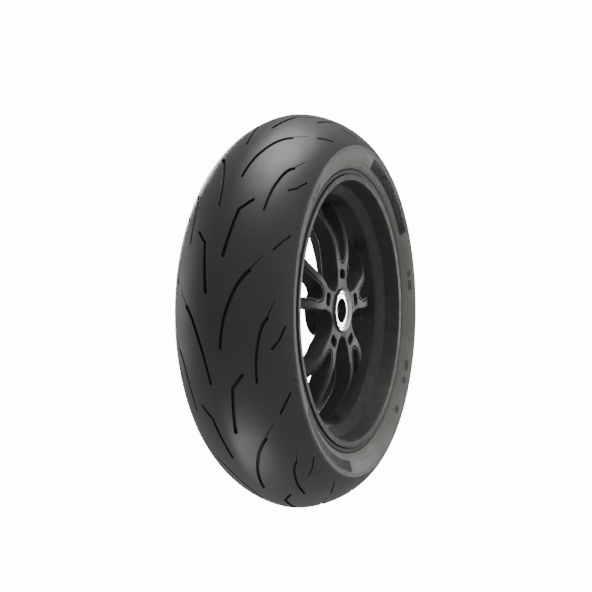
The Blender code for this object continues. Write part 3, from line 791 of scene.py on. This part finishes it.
def turned(loop, angle_deg):
    c, s = math.cos(math.radians(angle_deg)), math.sin(math.radians(angle_deg))
    return loop @ np.array(((c, s), (-s, c)))


def circle(r, count):
    a = np.linspace(0.0, 2.0 * math.pi, count, endpoint=False)
    return np.stack([r * np.cos(a), r * np.sin(a)], axis=1)


def pocket_loop():
    centre, half_x, half_y, corner, _ = POCKET
    loop = []
    for sx, sy, start in ((1, 1, 0), (-1, 1, 90), (-1, -1, 180), (1, -1, 270)):
        for k in range(7):
            a = math.radians(start + 15.0 * k)
            loop.append((centre + sx * (half_x - corner) + corner * math.cos(a),
                         sy * (half_y - corner) + corner * math.sin(a)))
    return np.array(loop)


def star():
    """Hub face and forked arms as one closed shell with rounded edges, grooves and pockets."""
    fork = even(bezier_loop(FORK, 24), 2.0, 7.0)
    bay = even(bezier_loop(BAY, 24), 2.0, 7.0)
    loops, drops, front_only = [], [], []
    windows, pockets = [], []
    for index in range(ARMS):
        angle = FIRST_ARM + index * 360.0 / ARMS
        for shape, turn, rings, is_pocket in ((fork, angle, RIB_AND_GROOVE, False),
                                              (bay, angle + 180.0 / ARMS, EDGE_ROUND, False),
                                              (pocket_loop(), angle, POCKET_EDGE, True)):
            for k, (offset, drop) in enumerate(rings):
                if k == 0:
                    (pockets if is_pocket else windows).append(len(loops))
                loops.append(turned(grown(shape, offset), turn))
                drops.append(drop)
                front_only.append(is_pocket or offset > 2.3)
    mouth = len(loops)
    loops.append(circle(COLLAR_R - 0.3, 96))
    drops.append(0.0)
    front_only.append(False)
    rim = len(loops)
    loops.append(circle(STAR_R, 240))
    drops.append(0.0)
    front_only.append(False)
    grid = []
    for r in np.arange(40.0, 195.0, 5.0):
        count = int(2.0 * math.pi * r / 6.5)
        grid.extend(tuple(p) for p in circle(r, count))
    extra = clear_of(grid, [[tuple(p) for p in loop] for loop in loops], 2.0)
    points, tris, held, ids = triangulate([[tuple(p) for p in loop] for loop in loops], extra)
    owner = []
    for index, loop in enumerate(loops):
        owner.extend([index] * len(loop))
    owner.extend([-1] * len(extra))
    r = np.hypot(points[:, 0], points[:, 1])
    front, back = dish(r), dish(r) - arm_thickness(r)
    for vertex, sources in enumerate(ids):
        rings = [owner[i] for i in sources if owner[i] >= 0]
        if rings:
            front[vertex] -= max(drops[i] for i in rings)
            back[vertex] += max((drops[i] for i in rings if not front_only[i]), default=0.0)
    kept, in_pocket = [], []
    for tri, inside in zip(tris, held):
        inside = set(inside)
        if rim in inside and mouth not in inside and not inside.intersection(windows):
            kept.append(tri)
            in_pocket.append(bool(inside.intersection(pockets)))
    floor_n = FACE_N - POCKET[4]
    count = len(points)
    verts = [place(p[0], p[1], n) for p, n in zip(points, front)]
    verts += [place(p[0], p[1], n) for p, n in zip(points, back)]
    floor_id = {}
    faces, sides = [], {}
    for tri, sunk in zip(kept, in_pocket):
        if sunk:
            for v in tri:
                if v not in floor_id:
                    floor_id[v] = len(verts)
                    verts.append(place(*points[v], floor_n))
            faces.append(tuple(floor_id[v] for v in tri))
        else:
            faces.append(tri)
        faces.append(tuple(count + v for v in tri[::-1]))
        for a, b in zip(tri, tri[1:] + tri[:1]):
            sides.setdefault((min(a, b), max(a, b)), []).append((sunk, a, b))
    for found in sides.values():
        if len(found) == 1:
            _, a, b = found[0]
            faces.append((a, count + a, count + b, b))
        elif found[0][0] != found[1][0]:
            _, a, b = next(f for f in found if f[0])
            faces.append((b, a, floor_id[a], floor_id[b])[::-1])
    used = sorted({v for face in faces for v in face})
    index = {v: i for i, v in enumerate(used)}
    return [verts[v] for v in used], [tuple(index[v] for v in face) for face in faces]


RIM_TYRE_SIDE = ((197.0, 36.5, 8.0), (216.2, 51.0, 3.0), (217.4, 53.6, 1.5), (217.4, 55.4, 1.0),
                 (216.664, 57.5, 1.0), (218.3, 76.2, 2.6), (227.0, 76.2, 3.0),
                 (230.4, 77.2, 1.0), (231.2, 78.0, 0.4), (231.0, 79.7, 0.3), (230.3, 80.1, 0.3),
                 (225.7, 79.8, 0.2), (225.5, 77.9, 0.2), (224.3, 77.9, 0.2), (224.0, 80.2, 0.2),
                 (223.6, 82.2, 0.5))
RIM_OPEN_SIDE = ((214.4, 81.3, 1.2), (213.0, 78.0, 3.0),
                 (208.2, 55.6, 3.0), (205.5, 53.0, 3.0), (195.0, 43.5, 6.0), (193.0, 40.0, 8.0))


def rim():
    """Rim, turned from its rounded section."""
    half = RIM_TYRE_SIDE + RIM_OPEN_SIDE
    full = half + tuple((r, -n, f) for r, n, f in half[::-1])
    return revolve(fillet([(r, n) for r, n, _ in full], [f for _, _, f in full], 3), 300)


def hub():
    """Hub tube: bearing seats, shoulder and ring groove, behind the star's face."""
    outline = [(42.9, 30.0), (42.9, 6.0), (35.1, 6.0), (MOUTH_R, 6.7), (36.1, 6.7), (36.1, 8.8),
               (MOUTH_R, 8.8), (MOUTH_R, SHOULDERS_N[0]), (30.0, SHOULDERS_N[0]),
               (30.0, SHOULDERS_N[1]), (MOUTH_R, SHOULDERS_N[1]),
               (MOUTH_R, COLLAR_N), (COLLAR_R, COLLAR_N), (COLLAR_R + 0.5, 54.0), (41.0, 52.0),
               (41.0, 30.0)]
    radii = [0.0, 1.2, 0.3, 0.2, 0.2, 0.2, 0.2, 0.3, 0.5, 0.5, 0.3, 0.6, 0.7, 0.0, 0.0, 0.0]
    return revolve(fillet(outline, radii, 3), 120)


def barrel_pad(angle, half_deg, ends, height):
    """A low rounded pad on the barrel, where an arm lands."""
    columns, rows = 16, 12
    verts = []
    for layer in (0, 1):
        for j in range(columns + 1):
            for i in range(rows + 1):
                u, v = 2.0 * j / columns - 1.0, 2.0 * i / rows - 1.0
                share = max(1.0 - (abs(u) ** 8 + abs(v) ** 8), 0.0) ** 0.5
                r = BARREL_R + 1.5 if layer else BARREL_R + 0.6 - (height + 0.6) * share
                n = 0.5 * (ends[0] + ends[1]) + 0.5 * (ends[1] - ends[0]) * v
                verts.append(polar(r, angle + half_deg * u, n))
    return verts, slab_faces(columns, rows)


def make_wheel(looks):
    shell = Shell()
    shell.add(*rim())
    verts, faces = hub()
    middles = [sum((Vector(verts[v]) for v in face), Vector()) / len(face) for face in faces]
    # The hub mouth's faces take the near-white look: bare alloy with a painted reflection.
    shell.add(verts, faces, [1 if math.hypot(m.x, m.z) < (MOUTH_R + 0.1) * MM else 0
                             for m in middles])
    shell.add(*star())
    for index in range(ARMS):
        for side in (-1.0, 1.0):
            angle = FIRST_ARM + index * 360.0 / ARMS + side * 19.8
            shell.add(*barrel_pad(angle, 5.2, (-21.0, 17.0), 2.4))
    boss = fillet([(4.4, 189.8), (12.0, 189.8), (12.0, 198.3), (4.4, 198.3)],
                  [0.4, 1.6, 1.0, 0.4], 3)
    shell.add(*turn_down(boss, 48))
    obj = make_piece("wheel_casting", shell.mesh("wheel_casting", 40.0), "wheel",
                     ["cast_wheel"], [looks["wheel"], looks["machined"]])
    weighted = obj.modifiers.new("weighted_normals", "WEIGHTED_NORMAL")
    weighted.keep_sharp = True
    return obj


# ---------------------------------------------------------------- bearings

PITCH_R = 27.0
BALL_R = 3.97
RACEWAY_R = 4.4
BALLS = 12
BEARING_N = {"right": 47.5, "left": 16.5}


def race_outline(land_r, back_r, centre):
    half = 7.5
    inwards = 1.0 if land_r > PITCH_R else -1.0
    groove = [(PITCH_R + inwards * RACEWAY_R * math.cos(math.radians(a)),
               centre + RACEWAY_R * math.sin(math.radians(a))) for a in range(-46, 47, 8)]
    outline = [(back_r, centre + half), (back_r, centre - half), (land_r, centre - half)]
    radii = [1.0, 1.0, 0.3] + [0.0] * len(groove) + [0.3]
    return fillet(outline + groove + [(land_r, centre + half)], radii, 4)


def make_ring(name, outline, steps, body, nodes, looks):
    shell = Shell().add(*revolve(outline, steps))
    return make_piece(name, shell.mesh(name), body, nodes, looks)


def make_bearing(side, looks):
    centre = BEARING_N[side]
    out = 1.0 if side == "right" else -1.0
    balls_body = f"ball_set_{side}"
    make_ring(f"outer_ring_{side}", race_outline(30.0, 34.0, centre), 120, "wheel",
              [f"bearing_outer_race_{side}"], [looks["steel"]])
    inner = make_ring(f"inner_ring_{side}", race_outline(24.0, 20.0, centre), 120,
                      "axle_sleeve", [f"bearing_inner_race_{side}"],
                      [looks["steel"], looks["bore"]])
    # The inner ring's bore faces take the near-black look: painted shade inside the hole.
    for face in inner.data.polygons:
        radius = math.hypot(face.center.x, face.center.z)
        face.material_index = 1 if radius < 20.05 * MM else 0
    shield = [(24.5, 6.1), (29.4, 6.1), (29.4, 6.9), (28.4, 7.1), (27.6, 6.75), (25.9, 6.75),
              (25.2, 7.05), (24.5, 7.05)]
    shield = [(r, centre + out * n) for r, n in shield]
    make_ring(f"dust_shield_{side}", fillet(shield, [0.2], 3), 120, "wheel",
              [f"bearing_shield_{side}"], [looks["steel"]])
    ball = bmesh.new()
    bmesh.ops.create_uvsphere(ball, u_segments=28, v_segments=18, radius=BALL_R * MM)
    mesh = bpy.data.meshes.new(f"ball_{side}")
    ball.to_mesh(mesh)
    ball.free()
    mesh.shade_smooth()
    mesh.materials.append(looks["steel"])
    for index in range(BALLS):
        obj = bpy.data.objects.new(f"ball_{side}_{index + 1:02d}", mesh)
        bpy.context.scene.collection.objects.link(obj)
        obj.location = polar(PITCH_R, 360.0 * index / BALLS, centre)
        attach(obj, balls_body)
        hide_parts(f"bearing_ball_{side}_{index + 1:02d}")
    make_cage(side, centre, -out, balls_body, looks)


def make_cage(side, centre, inboard, body, looks):
    """Crown cage: a ring beside the balls and a rounded post in each space between them."""
    ring = [(25.8, 4.7), (28.2, 4.7), (28.2, 5.7), (25.8, 5.7)]
    ring = [(r, centre + inboard * n) for r, n in ring]
    shell = Shell().add(*revolve(fillet(ring, [0.25], 2), 96))
    for index in range(BALLS):
        middle = (index + 0.5) * 360.0 / BALLS
        verts, faces = [], []
        levels = ((-3.4, 0.7), (-2.9, 1.0), (3.6, 1.0), (5.2, 1.0))
        corners = [(math.cos(math.radians(a)), math.sin(math.radians(a)))
                   for a in range(15, 360, 30)]
        for n, scale in levels:
            for cx, cy in corners:
                r = PITCH_R + 1.05 * np.sign(cx) * abs(cx) ** 0.5 * scale
                turn = math.degrees(1.9 * np.sign(cy) * abs(cy) ** 0.5 * scale / PITCH_R)
                verts.append(polar(r, middle + turn, centre + inboard * n))
        size = len(corners)
        for level in range(len(levels) - 1):
            for k in range(size):
                a, b = level * size + k, level * size + (k + 1) % size
                faces.append((a, b, b + size, a + size))
        faces.append(tuple(range(size))[::-1])
        faces.append(tuple((len(levels) - 1) * size + k for k in range(size)))
        if inboard < 0.0:
            faces = [face[::-1] for face in faces]
        shell.add(verts, faces)
    make_piece(f"ball_cage_{side}", shell.mesh(f"ball_cage_{side}"), body,
               [f"bearing_cage_{side}"], [looks["cage"]])


def make_spacer(looks):
    near, far = SHOULDERS_N
    outline = [(20.0, near), (24.5, near), (24.5, far), (20.0, far)]
    # The spacer is painted near-black too, as shade inside the hole.
    make_ring("axle_spacer", fillet(outline, [0.5], 3), 120, "axle_sleeve",
              ["bearing_spacer"], [looks["bore"]])


def make_snap_ring(looks):
    """Internal spring ring: widest opposite its opening, with an eye at each end."""
    inner, outer, opening = 31.0, 35.8, 34.0
    steps = 96
    verts, faces = [], []
    for k in range(steps + 1):
        share = k / steps
        angle = 90.0 + 0.5 * opening + (360.0 - opening) * share
        width = 2.6 + 2.0 * math.sin(math.pi * share)
        eye = max(0.0, 1.0 - min(share, 1.0 - share) / 0.022)
        width = max(width, 4.8 * (1.0 - (1.0 - eye) ** 2) ** 0.5) if eye > 0.0 else width
        width = min(width, outer - inner)
        profile = fillet([(outer - width, 7.0), (outer, 7.0), (outer, 8.5),
                          (outer - width, 8.5)], [0.15], 1)
        section_count = len(profile)
        verts.extend(polar(r, angle, n) for r, n in profile)
    for k in range(steps):
        for i in range(section_count):
            j = (i + 1) % section_count
            a, b = k * section_count, (k + 1) * section_count
            faces.append((a + i, b + i, b + j, a + j))
    faces.append(tuple(range(section_count)))
    faces.append(tuple(steps * section_count + i for i in range(section_count))[::-1])
    shell = Shell().add(verts, faces)
    make_piece("snap_ring", shell.mesh("snap_ring"), "wheel",
               ["retaining_ring"], [looks["spring"]])


# ---------------------------------------------------------------- valve

def thread(top, bottom, radius, depth, pitch):
    """Ridges of a fine thread as (radius, distance) points."""
    points = []
    count = int((bottom - top) / pitch)
    for k in range(count):
        at = top + k * pitch
        points += [(radius - depth, at), (radius, at + 0.35 * pitch), (radius, at + 0.5 * pitch)]
    points.append((radius - depth, top + count * pitch))
    return points


def make_turned(name, outline, steps, body, slot, node, looks, wobble=None, sharp=35.0):
    verts, faces = turn_down(outline, steps, wobble)
    mesh = Shell().add(verts, faces).mesh(name, sharp)
    return make_piece(name, mesh, body, [node], looks)


def hexagon(radius, angle):
    """The valve nut's six flats, 6 mm from its axis, on what is wider than its bore."""
    flat = (angle + math.pi / 6.0) % (math.pi / 3.0) - math.pi / 6.0
    return min(radius, 6.0 / math.cos(flat)) if radius > 5.0 else radius


def knurl(radius, angle):
    """The valve cap's 24 grip grooves, 0.22 mm deep, on its widest part."""
    return radius - 0.22 * (0.5 + 0.5 * math.cos(24.0 * angle)) if radius > 5.05 else radius


def make_valve(looks):
    bore = 2.4
    stem = [(bore, 170.0), (3.5, 170.0)] + thread(170.6, 187.0, 4.0, 0.35, 0.794)
    stem += [(4.0, 188.2), (4.0, 200.0), (4.9, 200.7), (7.2, 200.7), (7.5, 201.1),
             (7.5, 202.6), (6.9, 203.1), (bore, 203.1)]
    grommet = fillet([(4.4, 198.6), (7.2, 198.6), (7.2, 200.4), (4.4, 200.4)], [0.5], 3)
    washer = fillet([(4.4, 188.7), (7.8, 188.7), (7.8, 189.7), (4.4, 189.7)], [0.3], 3)
    corner = 12.0 / math.sqrt(3.0)
    nut = [(4.4, 183.4), (5.9, 183.4), (corner, 184.2), (corner, 187.6), (5.9, 188.4),
           (4.4, 188.4)]
    insert = fillet([(1.0, 173.0), (2.0, 173.0), (2.0, 186.0), (1.0, 186.0)], [0.25], 2)
    pin = [(0.0, 171.2), (0.45, 171.2), (0.65, 171.4), (0.65, 186.4), (1.5, 186.4),
           (1.7, 186.6), (1.7, 187.8), (1.5, 188.0), (0.0, 188.0)]
    cap = [(0.0, 166.4), (3.9, 166.4), (4.7, 166.7), (5.1, 167.4), (5.2, 168.4), (5.2, 177.2),
           (5.0, 178.1), (4.8, 178.4), (4.4, 178.4), (4.4, 168.4), (0.0, 168.4)]
    seal = fillet([(1.5, 168.8), (3.8, 168.8), (3.8, 169.7), (1.5, 169.7)], [0.2], 2)
    for name, outline, steps, body, slot, node, look, *shape in (
            ("valve_body", stem, 48, "wheel", "nickel", "valve_stem", "nickel"),
            ("valve_rubber", grommet, 48, "wheel", "seal_rubber", "valve_grommet", "seal"),
            ("valve_plain_washer", washer, 64, "wheel", "nickel", "valve_washer", "nickel"),
            ("valve_hex_nut", nut, 96, "wheel", "nickel", "valve_nut", "nickel", hexagon, 20.0),
            ("valve_insert", insert, 32, "wheel", "brass", "valve_core_body", "brass"),
            ("valve_plunger", pin, 32, "valve_pin", "brass", "valve_core_pin", "brass"),
            ("valve_dust_cap", cap, 144, "cap", "cap_plastic", "valve_cap", "plastic", knurl),
            ("valve_cap_gasket", seal, 40, "cap_seal", "seal_rubber", "valve_cap_seal", "seal")):
        make_turned(name, outline, steps, body, slot, node, [looks[look]], *shape)


# ---------------------------------------------------------------- stage

def dress_hidden_nodes(looks):
    """The tyre's inner plies keep their CAD shapes and get their own finish."""
    finish = {"steel_belt": "steel_cord", "carcass_ply": "ply", "inner_liner": "inner"}
    for side in ("right", "left"):
        finish[f"bead_core_{side}"] = "steel_cord"
        finish[f"bead_filler_{side}"] = "inner"
        finish[f"rim_strip_{side}"] = "inner"
    for name, look in finish.items():
        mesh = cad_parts[name].data
        mesh.materials.clear()
        mesh.materials.append(looks[look])


# Name, direction, distance, size, power, and whether it shows in reflections.
LIGHTS = (
    ("key_light", (0.78, 0.62, 0.18), 2.4, (1.3, 1.3), 120.0, True),
    ("top_light", (0.0, -0.12, 1.0), 2.2, (1.6, 1.2), 50.0, True),
    ("low_light", (-0.31, 0.14, -0.94), 2.2, (1.2, 1.0), 16.0, True),
    ("right_light", (0.9011, -0.4337, 0.0), 2.5, (0.5, 0.5), 14.0, True),
    ("left_light", (0.0, 1.0, 0.05), 2.4, (1.6, 1.6), 9.0, True),
    ("side_light", (-0.15, -1.0, 0.1), 2.4, (1.6, 1.6), 32.0, False),
)
WHITE = (1.0, 1.0, 1.0, 1.0)
AMBIENT, BACKDROP = 0.45, 14.0
CAMERA_AT, CAMERA_LENS = (-1.3514, -0.6209, 0.0242), 53.5
CAMERA_TOWARDS = (0.9011, 0.4337, 0.0)


def add_area(name, direction, distance, size, power, in_reflections):
    light = bpy.data.lights.new(name, "AREA")
    light.shape = "RECTANGLE"
    light.size, light.size_y = size
    light.energy = power
    obj = bpy.data.objects.new(name, light)
    bpy.context.scene.collection.objects.link(obj)
    aim = Vector(direction).normalized()
    obj.location = aim * distance
    obj.rotation_euler = aim.to_track_quat("Z", "Y").to_euler()
    obj.visible_camera = False
    obj.visible_glossy = in_reflections


def make_world():
    """White to the camera, and a dim even light to everything else."""
    world = bpy.data.worlds.new("studio")
    bpy.context.scene.world = world
    world.use_nodes = True
    tree = world.node_tree
    background = tree.nodes["Background"]
    seen = tree.nodes.new("ShaderNodeBackground")
    for node, strength in ((background, AMBIENT), (seen, BACKDROP)):
        node.inputs["Color"].default_value = WHITE
        node.inputs["Strength"].default_value = strength
    path = tree.nodes.new("ShaderNodeLightPath")
    mix = tree.nodes.new("ShaderNodeMixShader")
    tree.links.new(path.outputs["Is Camera Ray"], mix.inputs["Fac"])
    tree.links.new(background.outputs["Background"], mix.inputs[1])
    tree.links.new(seen.outputs["Background"], mix.inputs[2])
    tree.links.new(mix.outputs["Shader"], tree.nodes["World Output"].inputs["Surface"])


def make_stage():
    make_world()
    camera_data = bpy.data.cameras.new("camera")
    camera_data.lens = CAMERA_LENS
    camera_data.sensor_width = 36.0
    camera_data.clip_start = 0.05
    camera = bpy.data.objects.new("camera", camera_data)
    bpy.context.scene.collection.objects.link(camera)
    camera.location = CAMERA_AT
    camera.rotation_euler = Vector(CAMERA_TOWARDS).to_track_quat("-Z", "Y").to_euler()
    bpy.context.scene.camera = camera
    for light in LIGHTS:
        add_area(*light)


def main():
    make_stage()
    looks = make_looks()
    make_tread(looks)
    make_sidewall("sidewall_skin_right", 1.0, "sidewall_right", looks)
    make_sidewall("sidewall_skin_left", -1.0, "sidewall_left", looks)
    make_wheel(looks)
    for side in ("right", "left"):
        make_bearing(side, looks)
    make_spacer(looks)
    make_snap_ring(looks)
    make_valve(looks)
    dress_hidden_nodes(looks)


main()
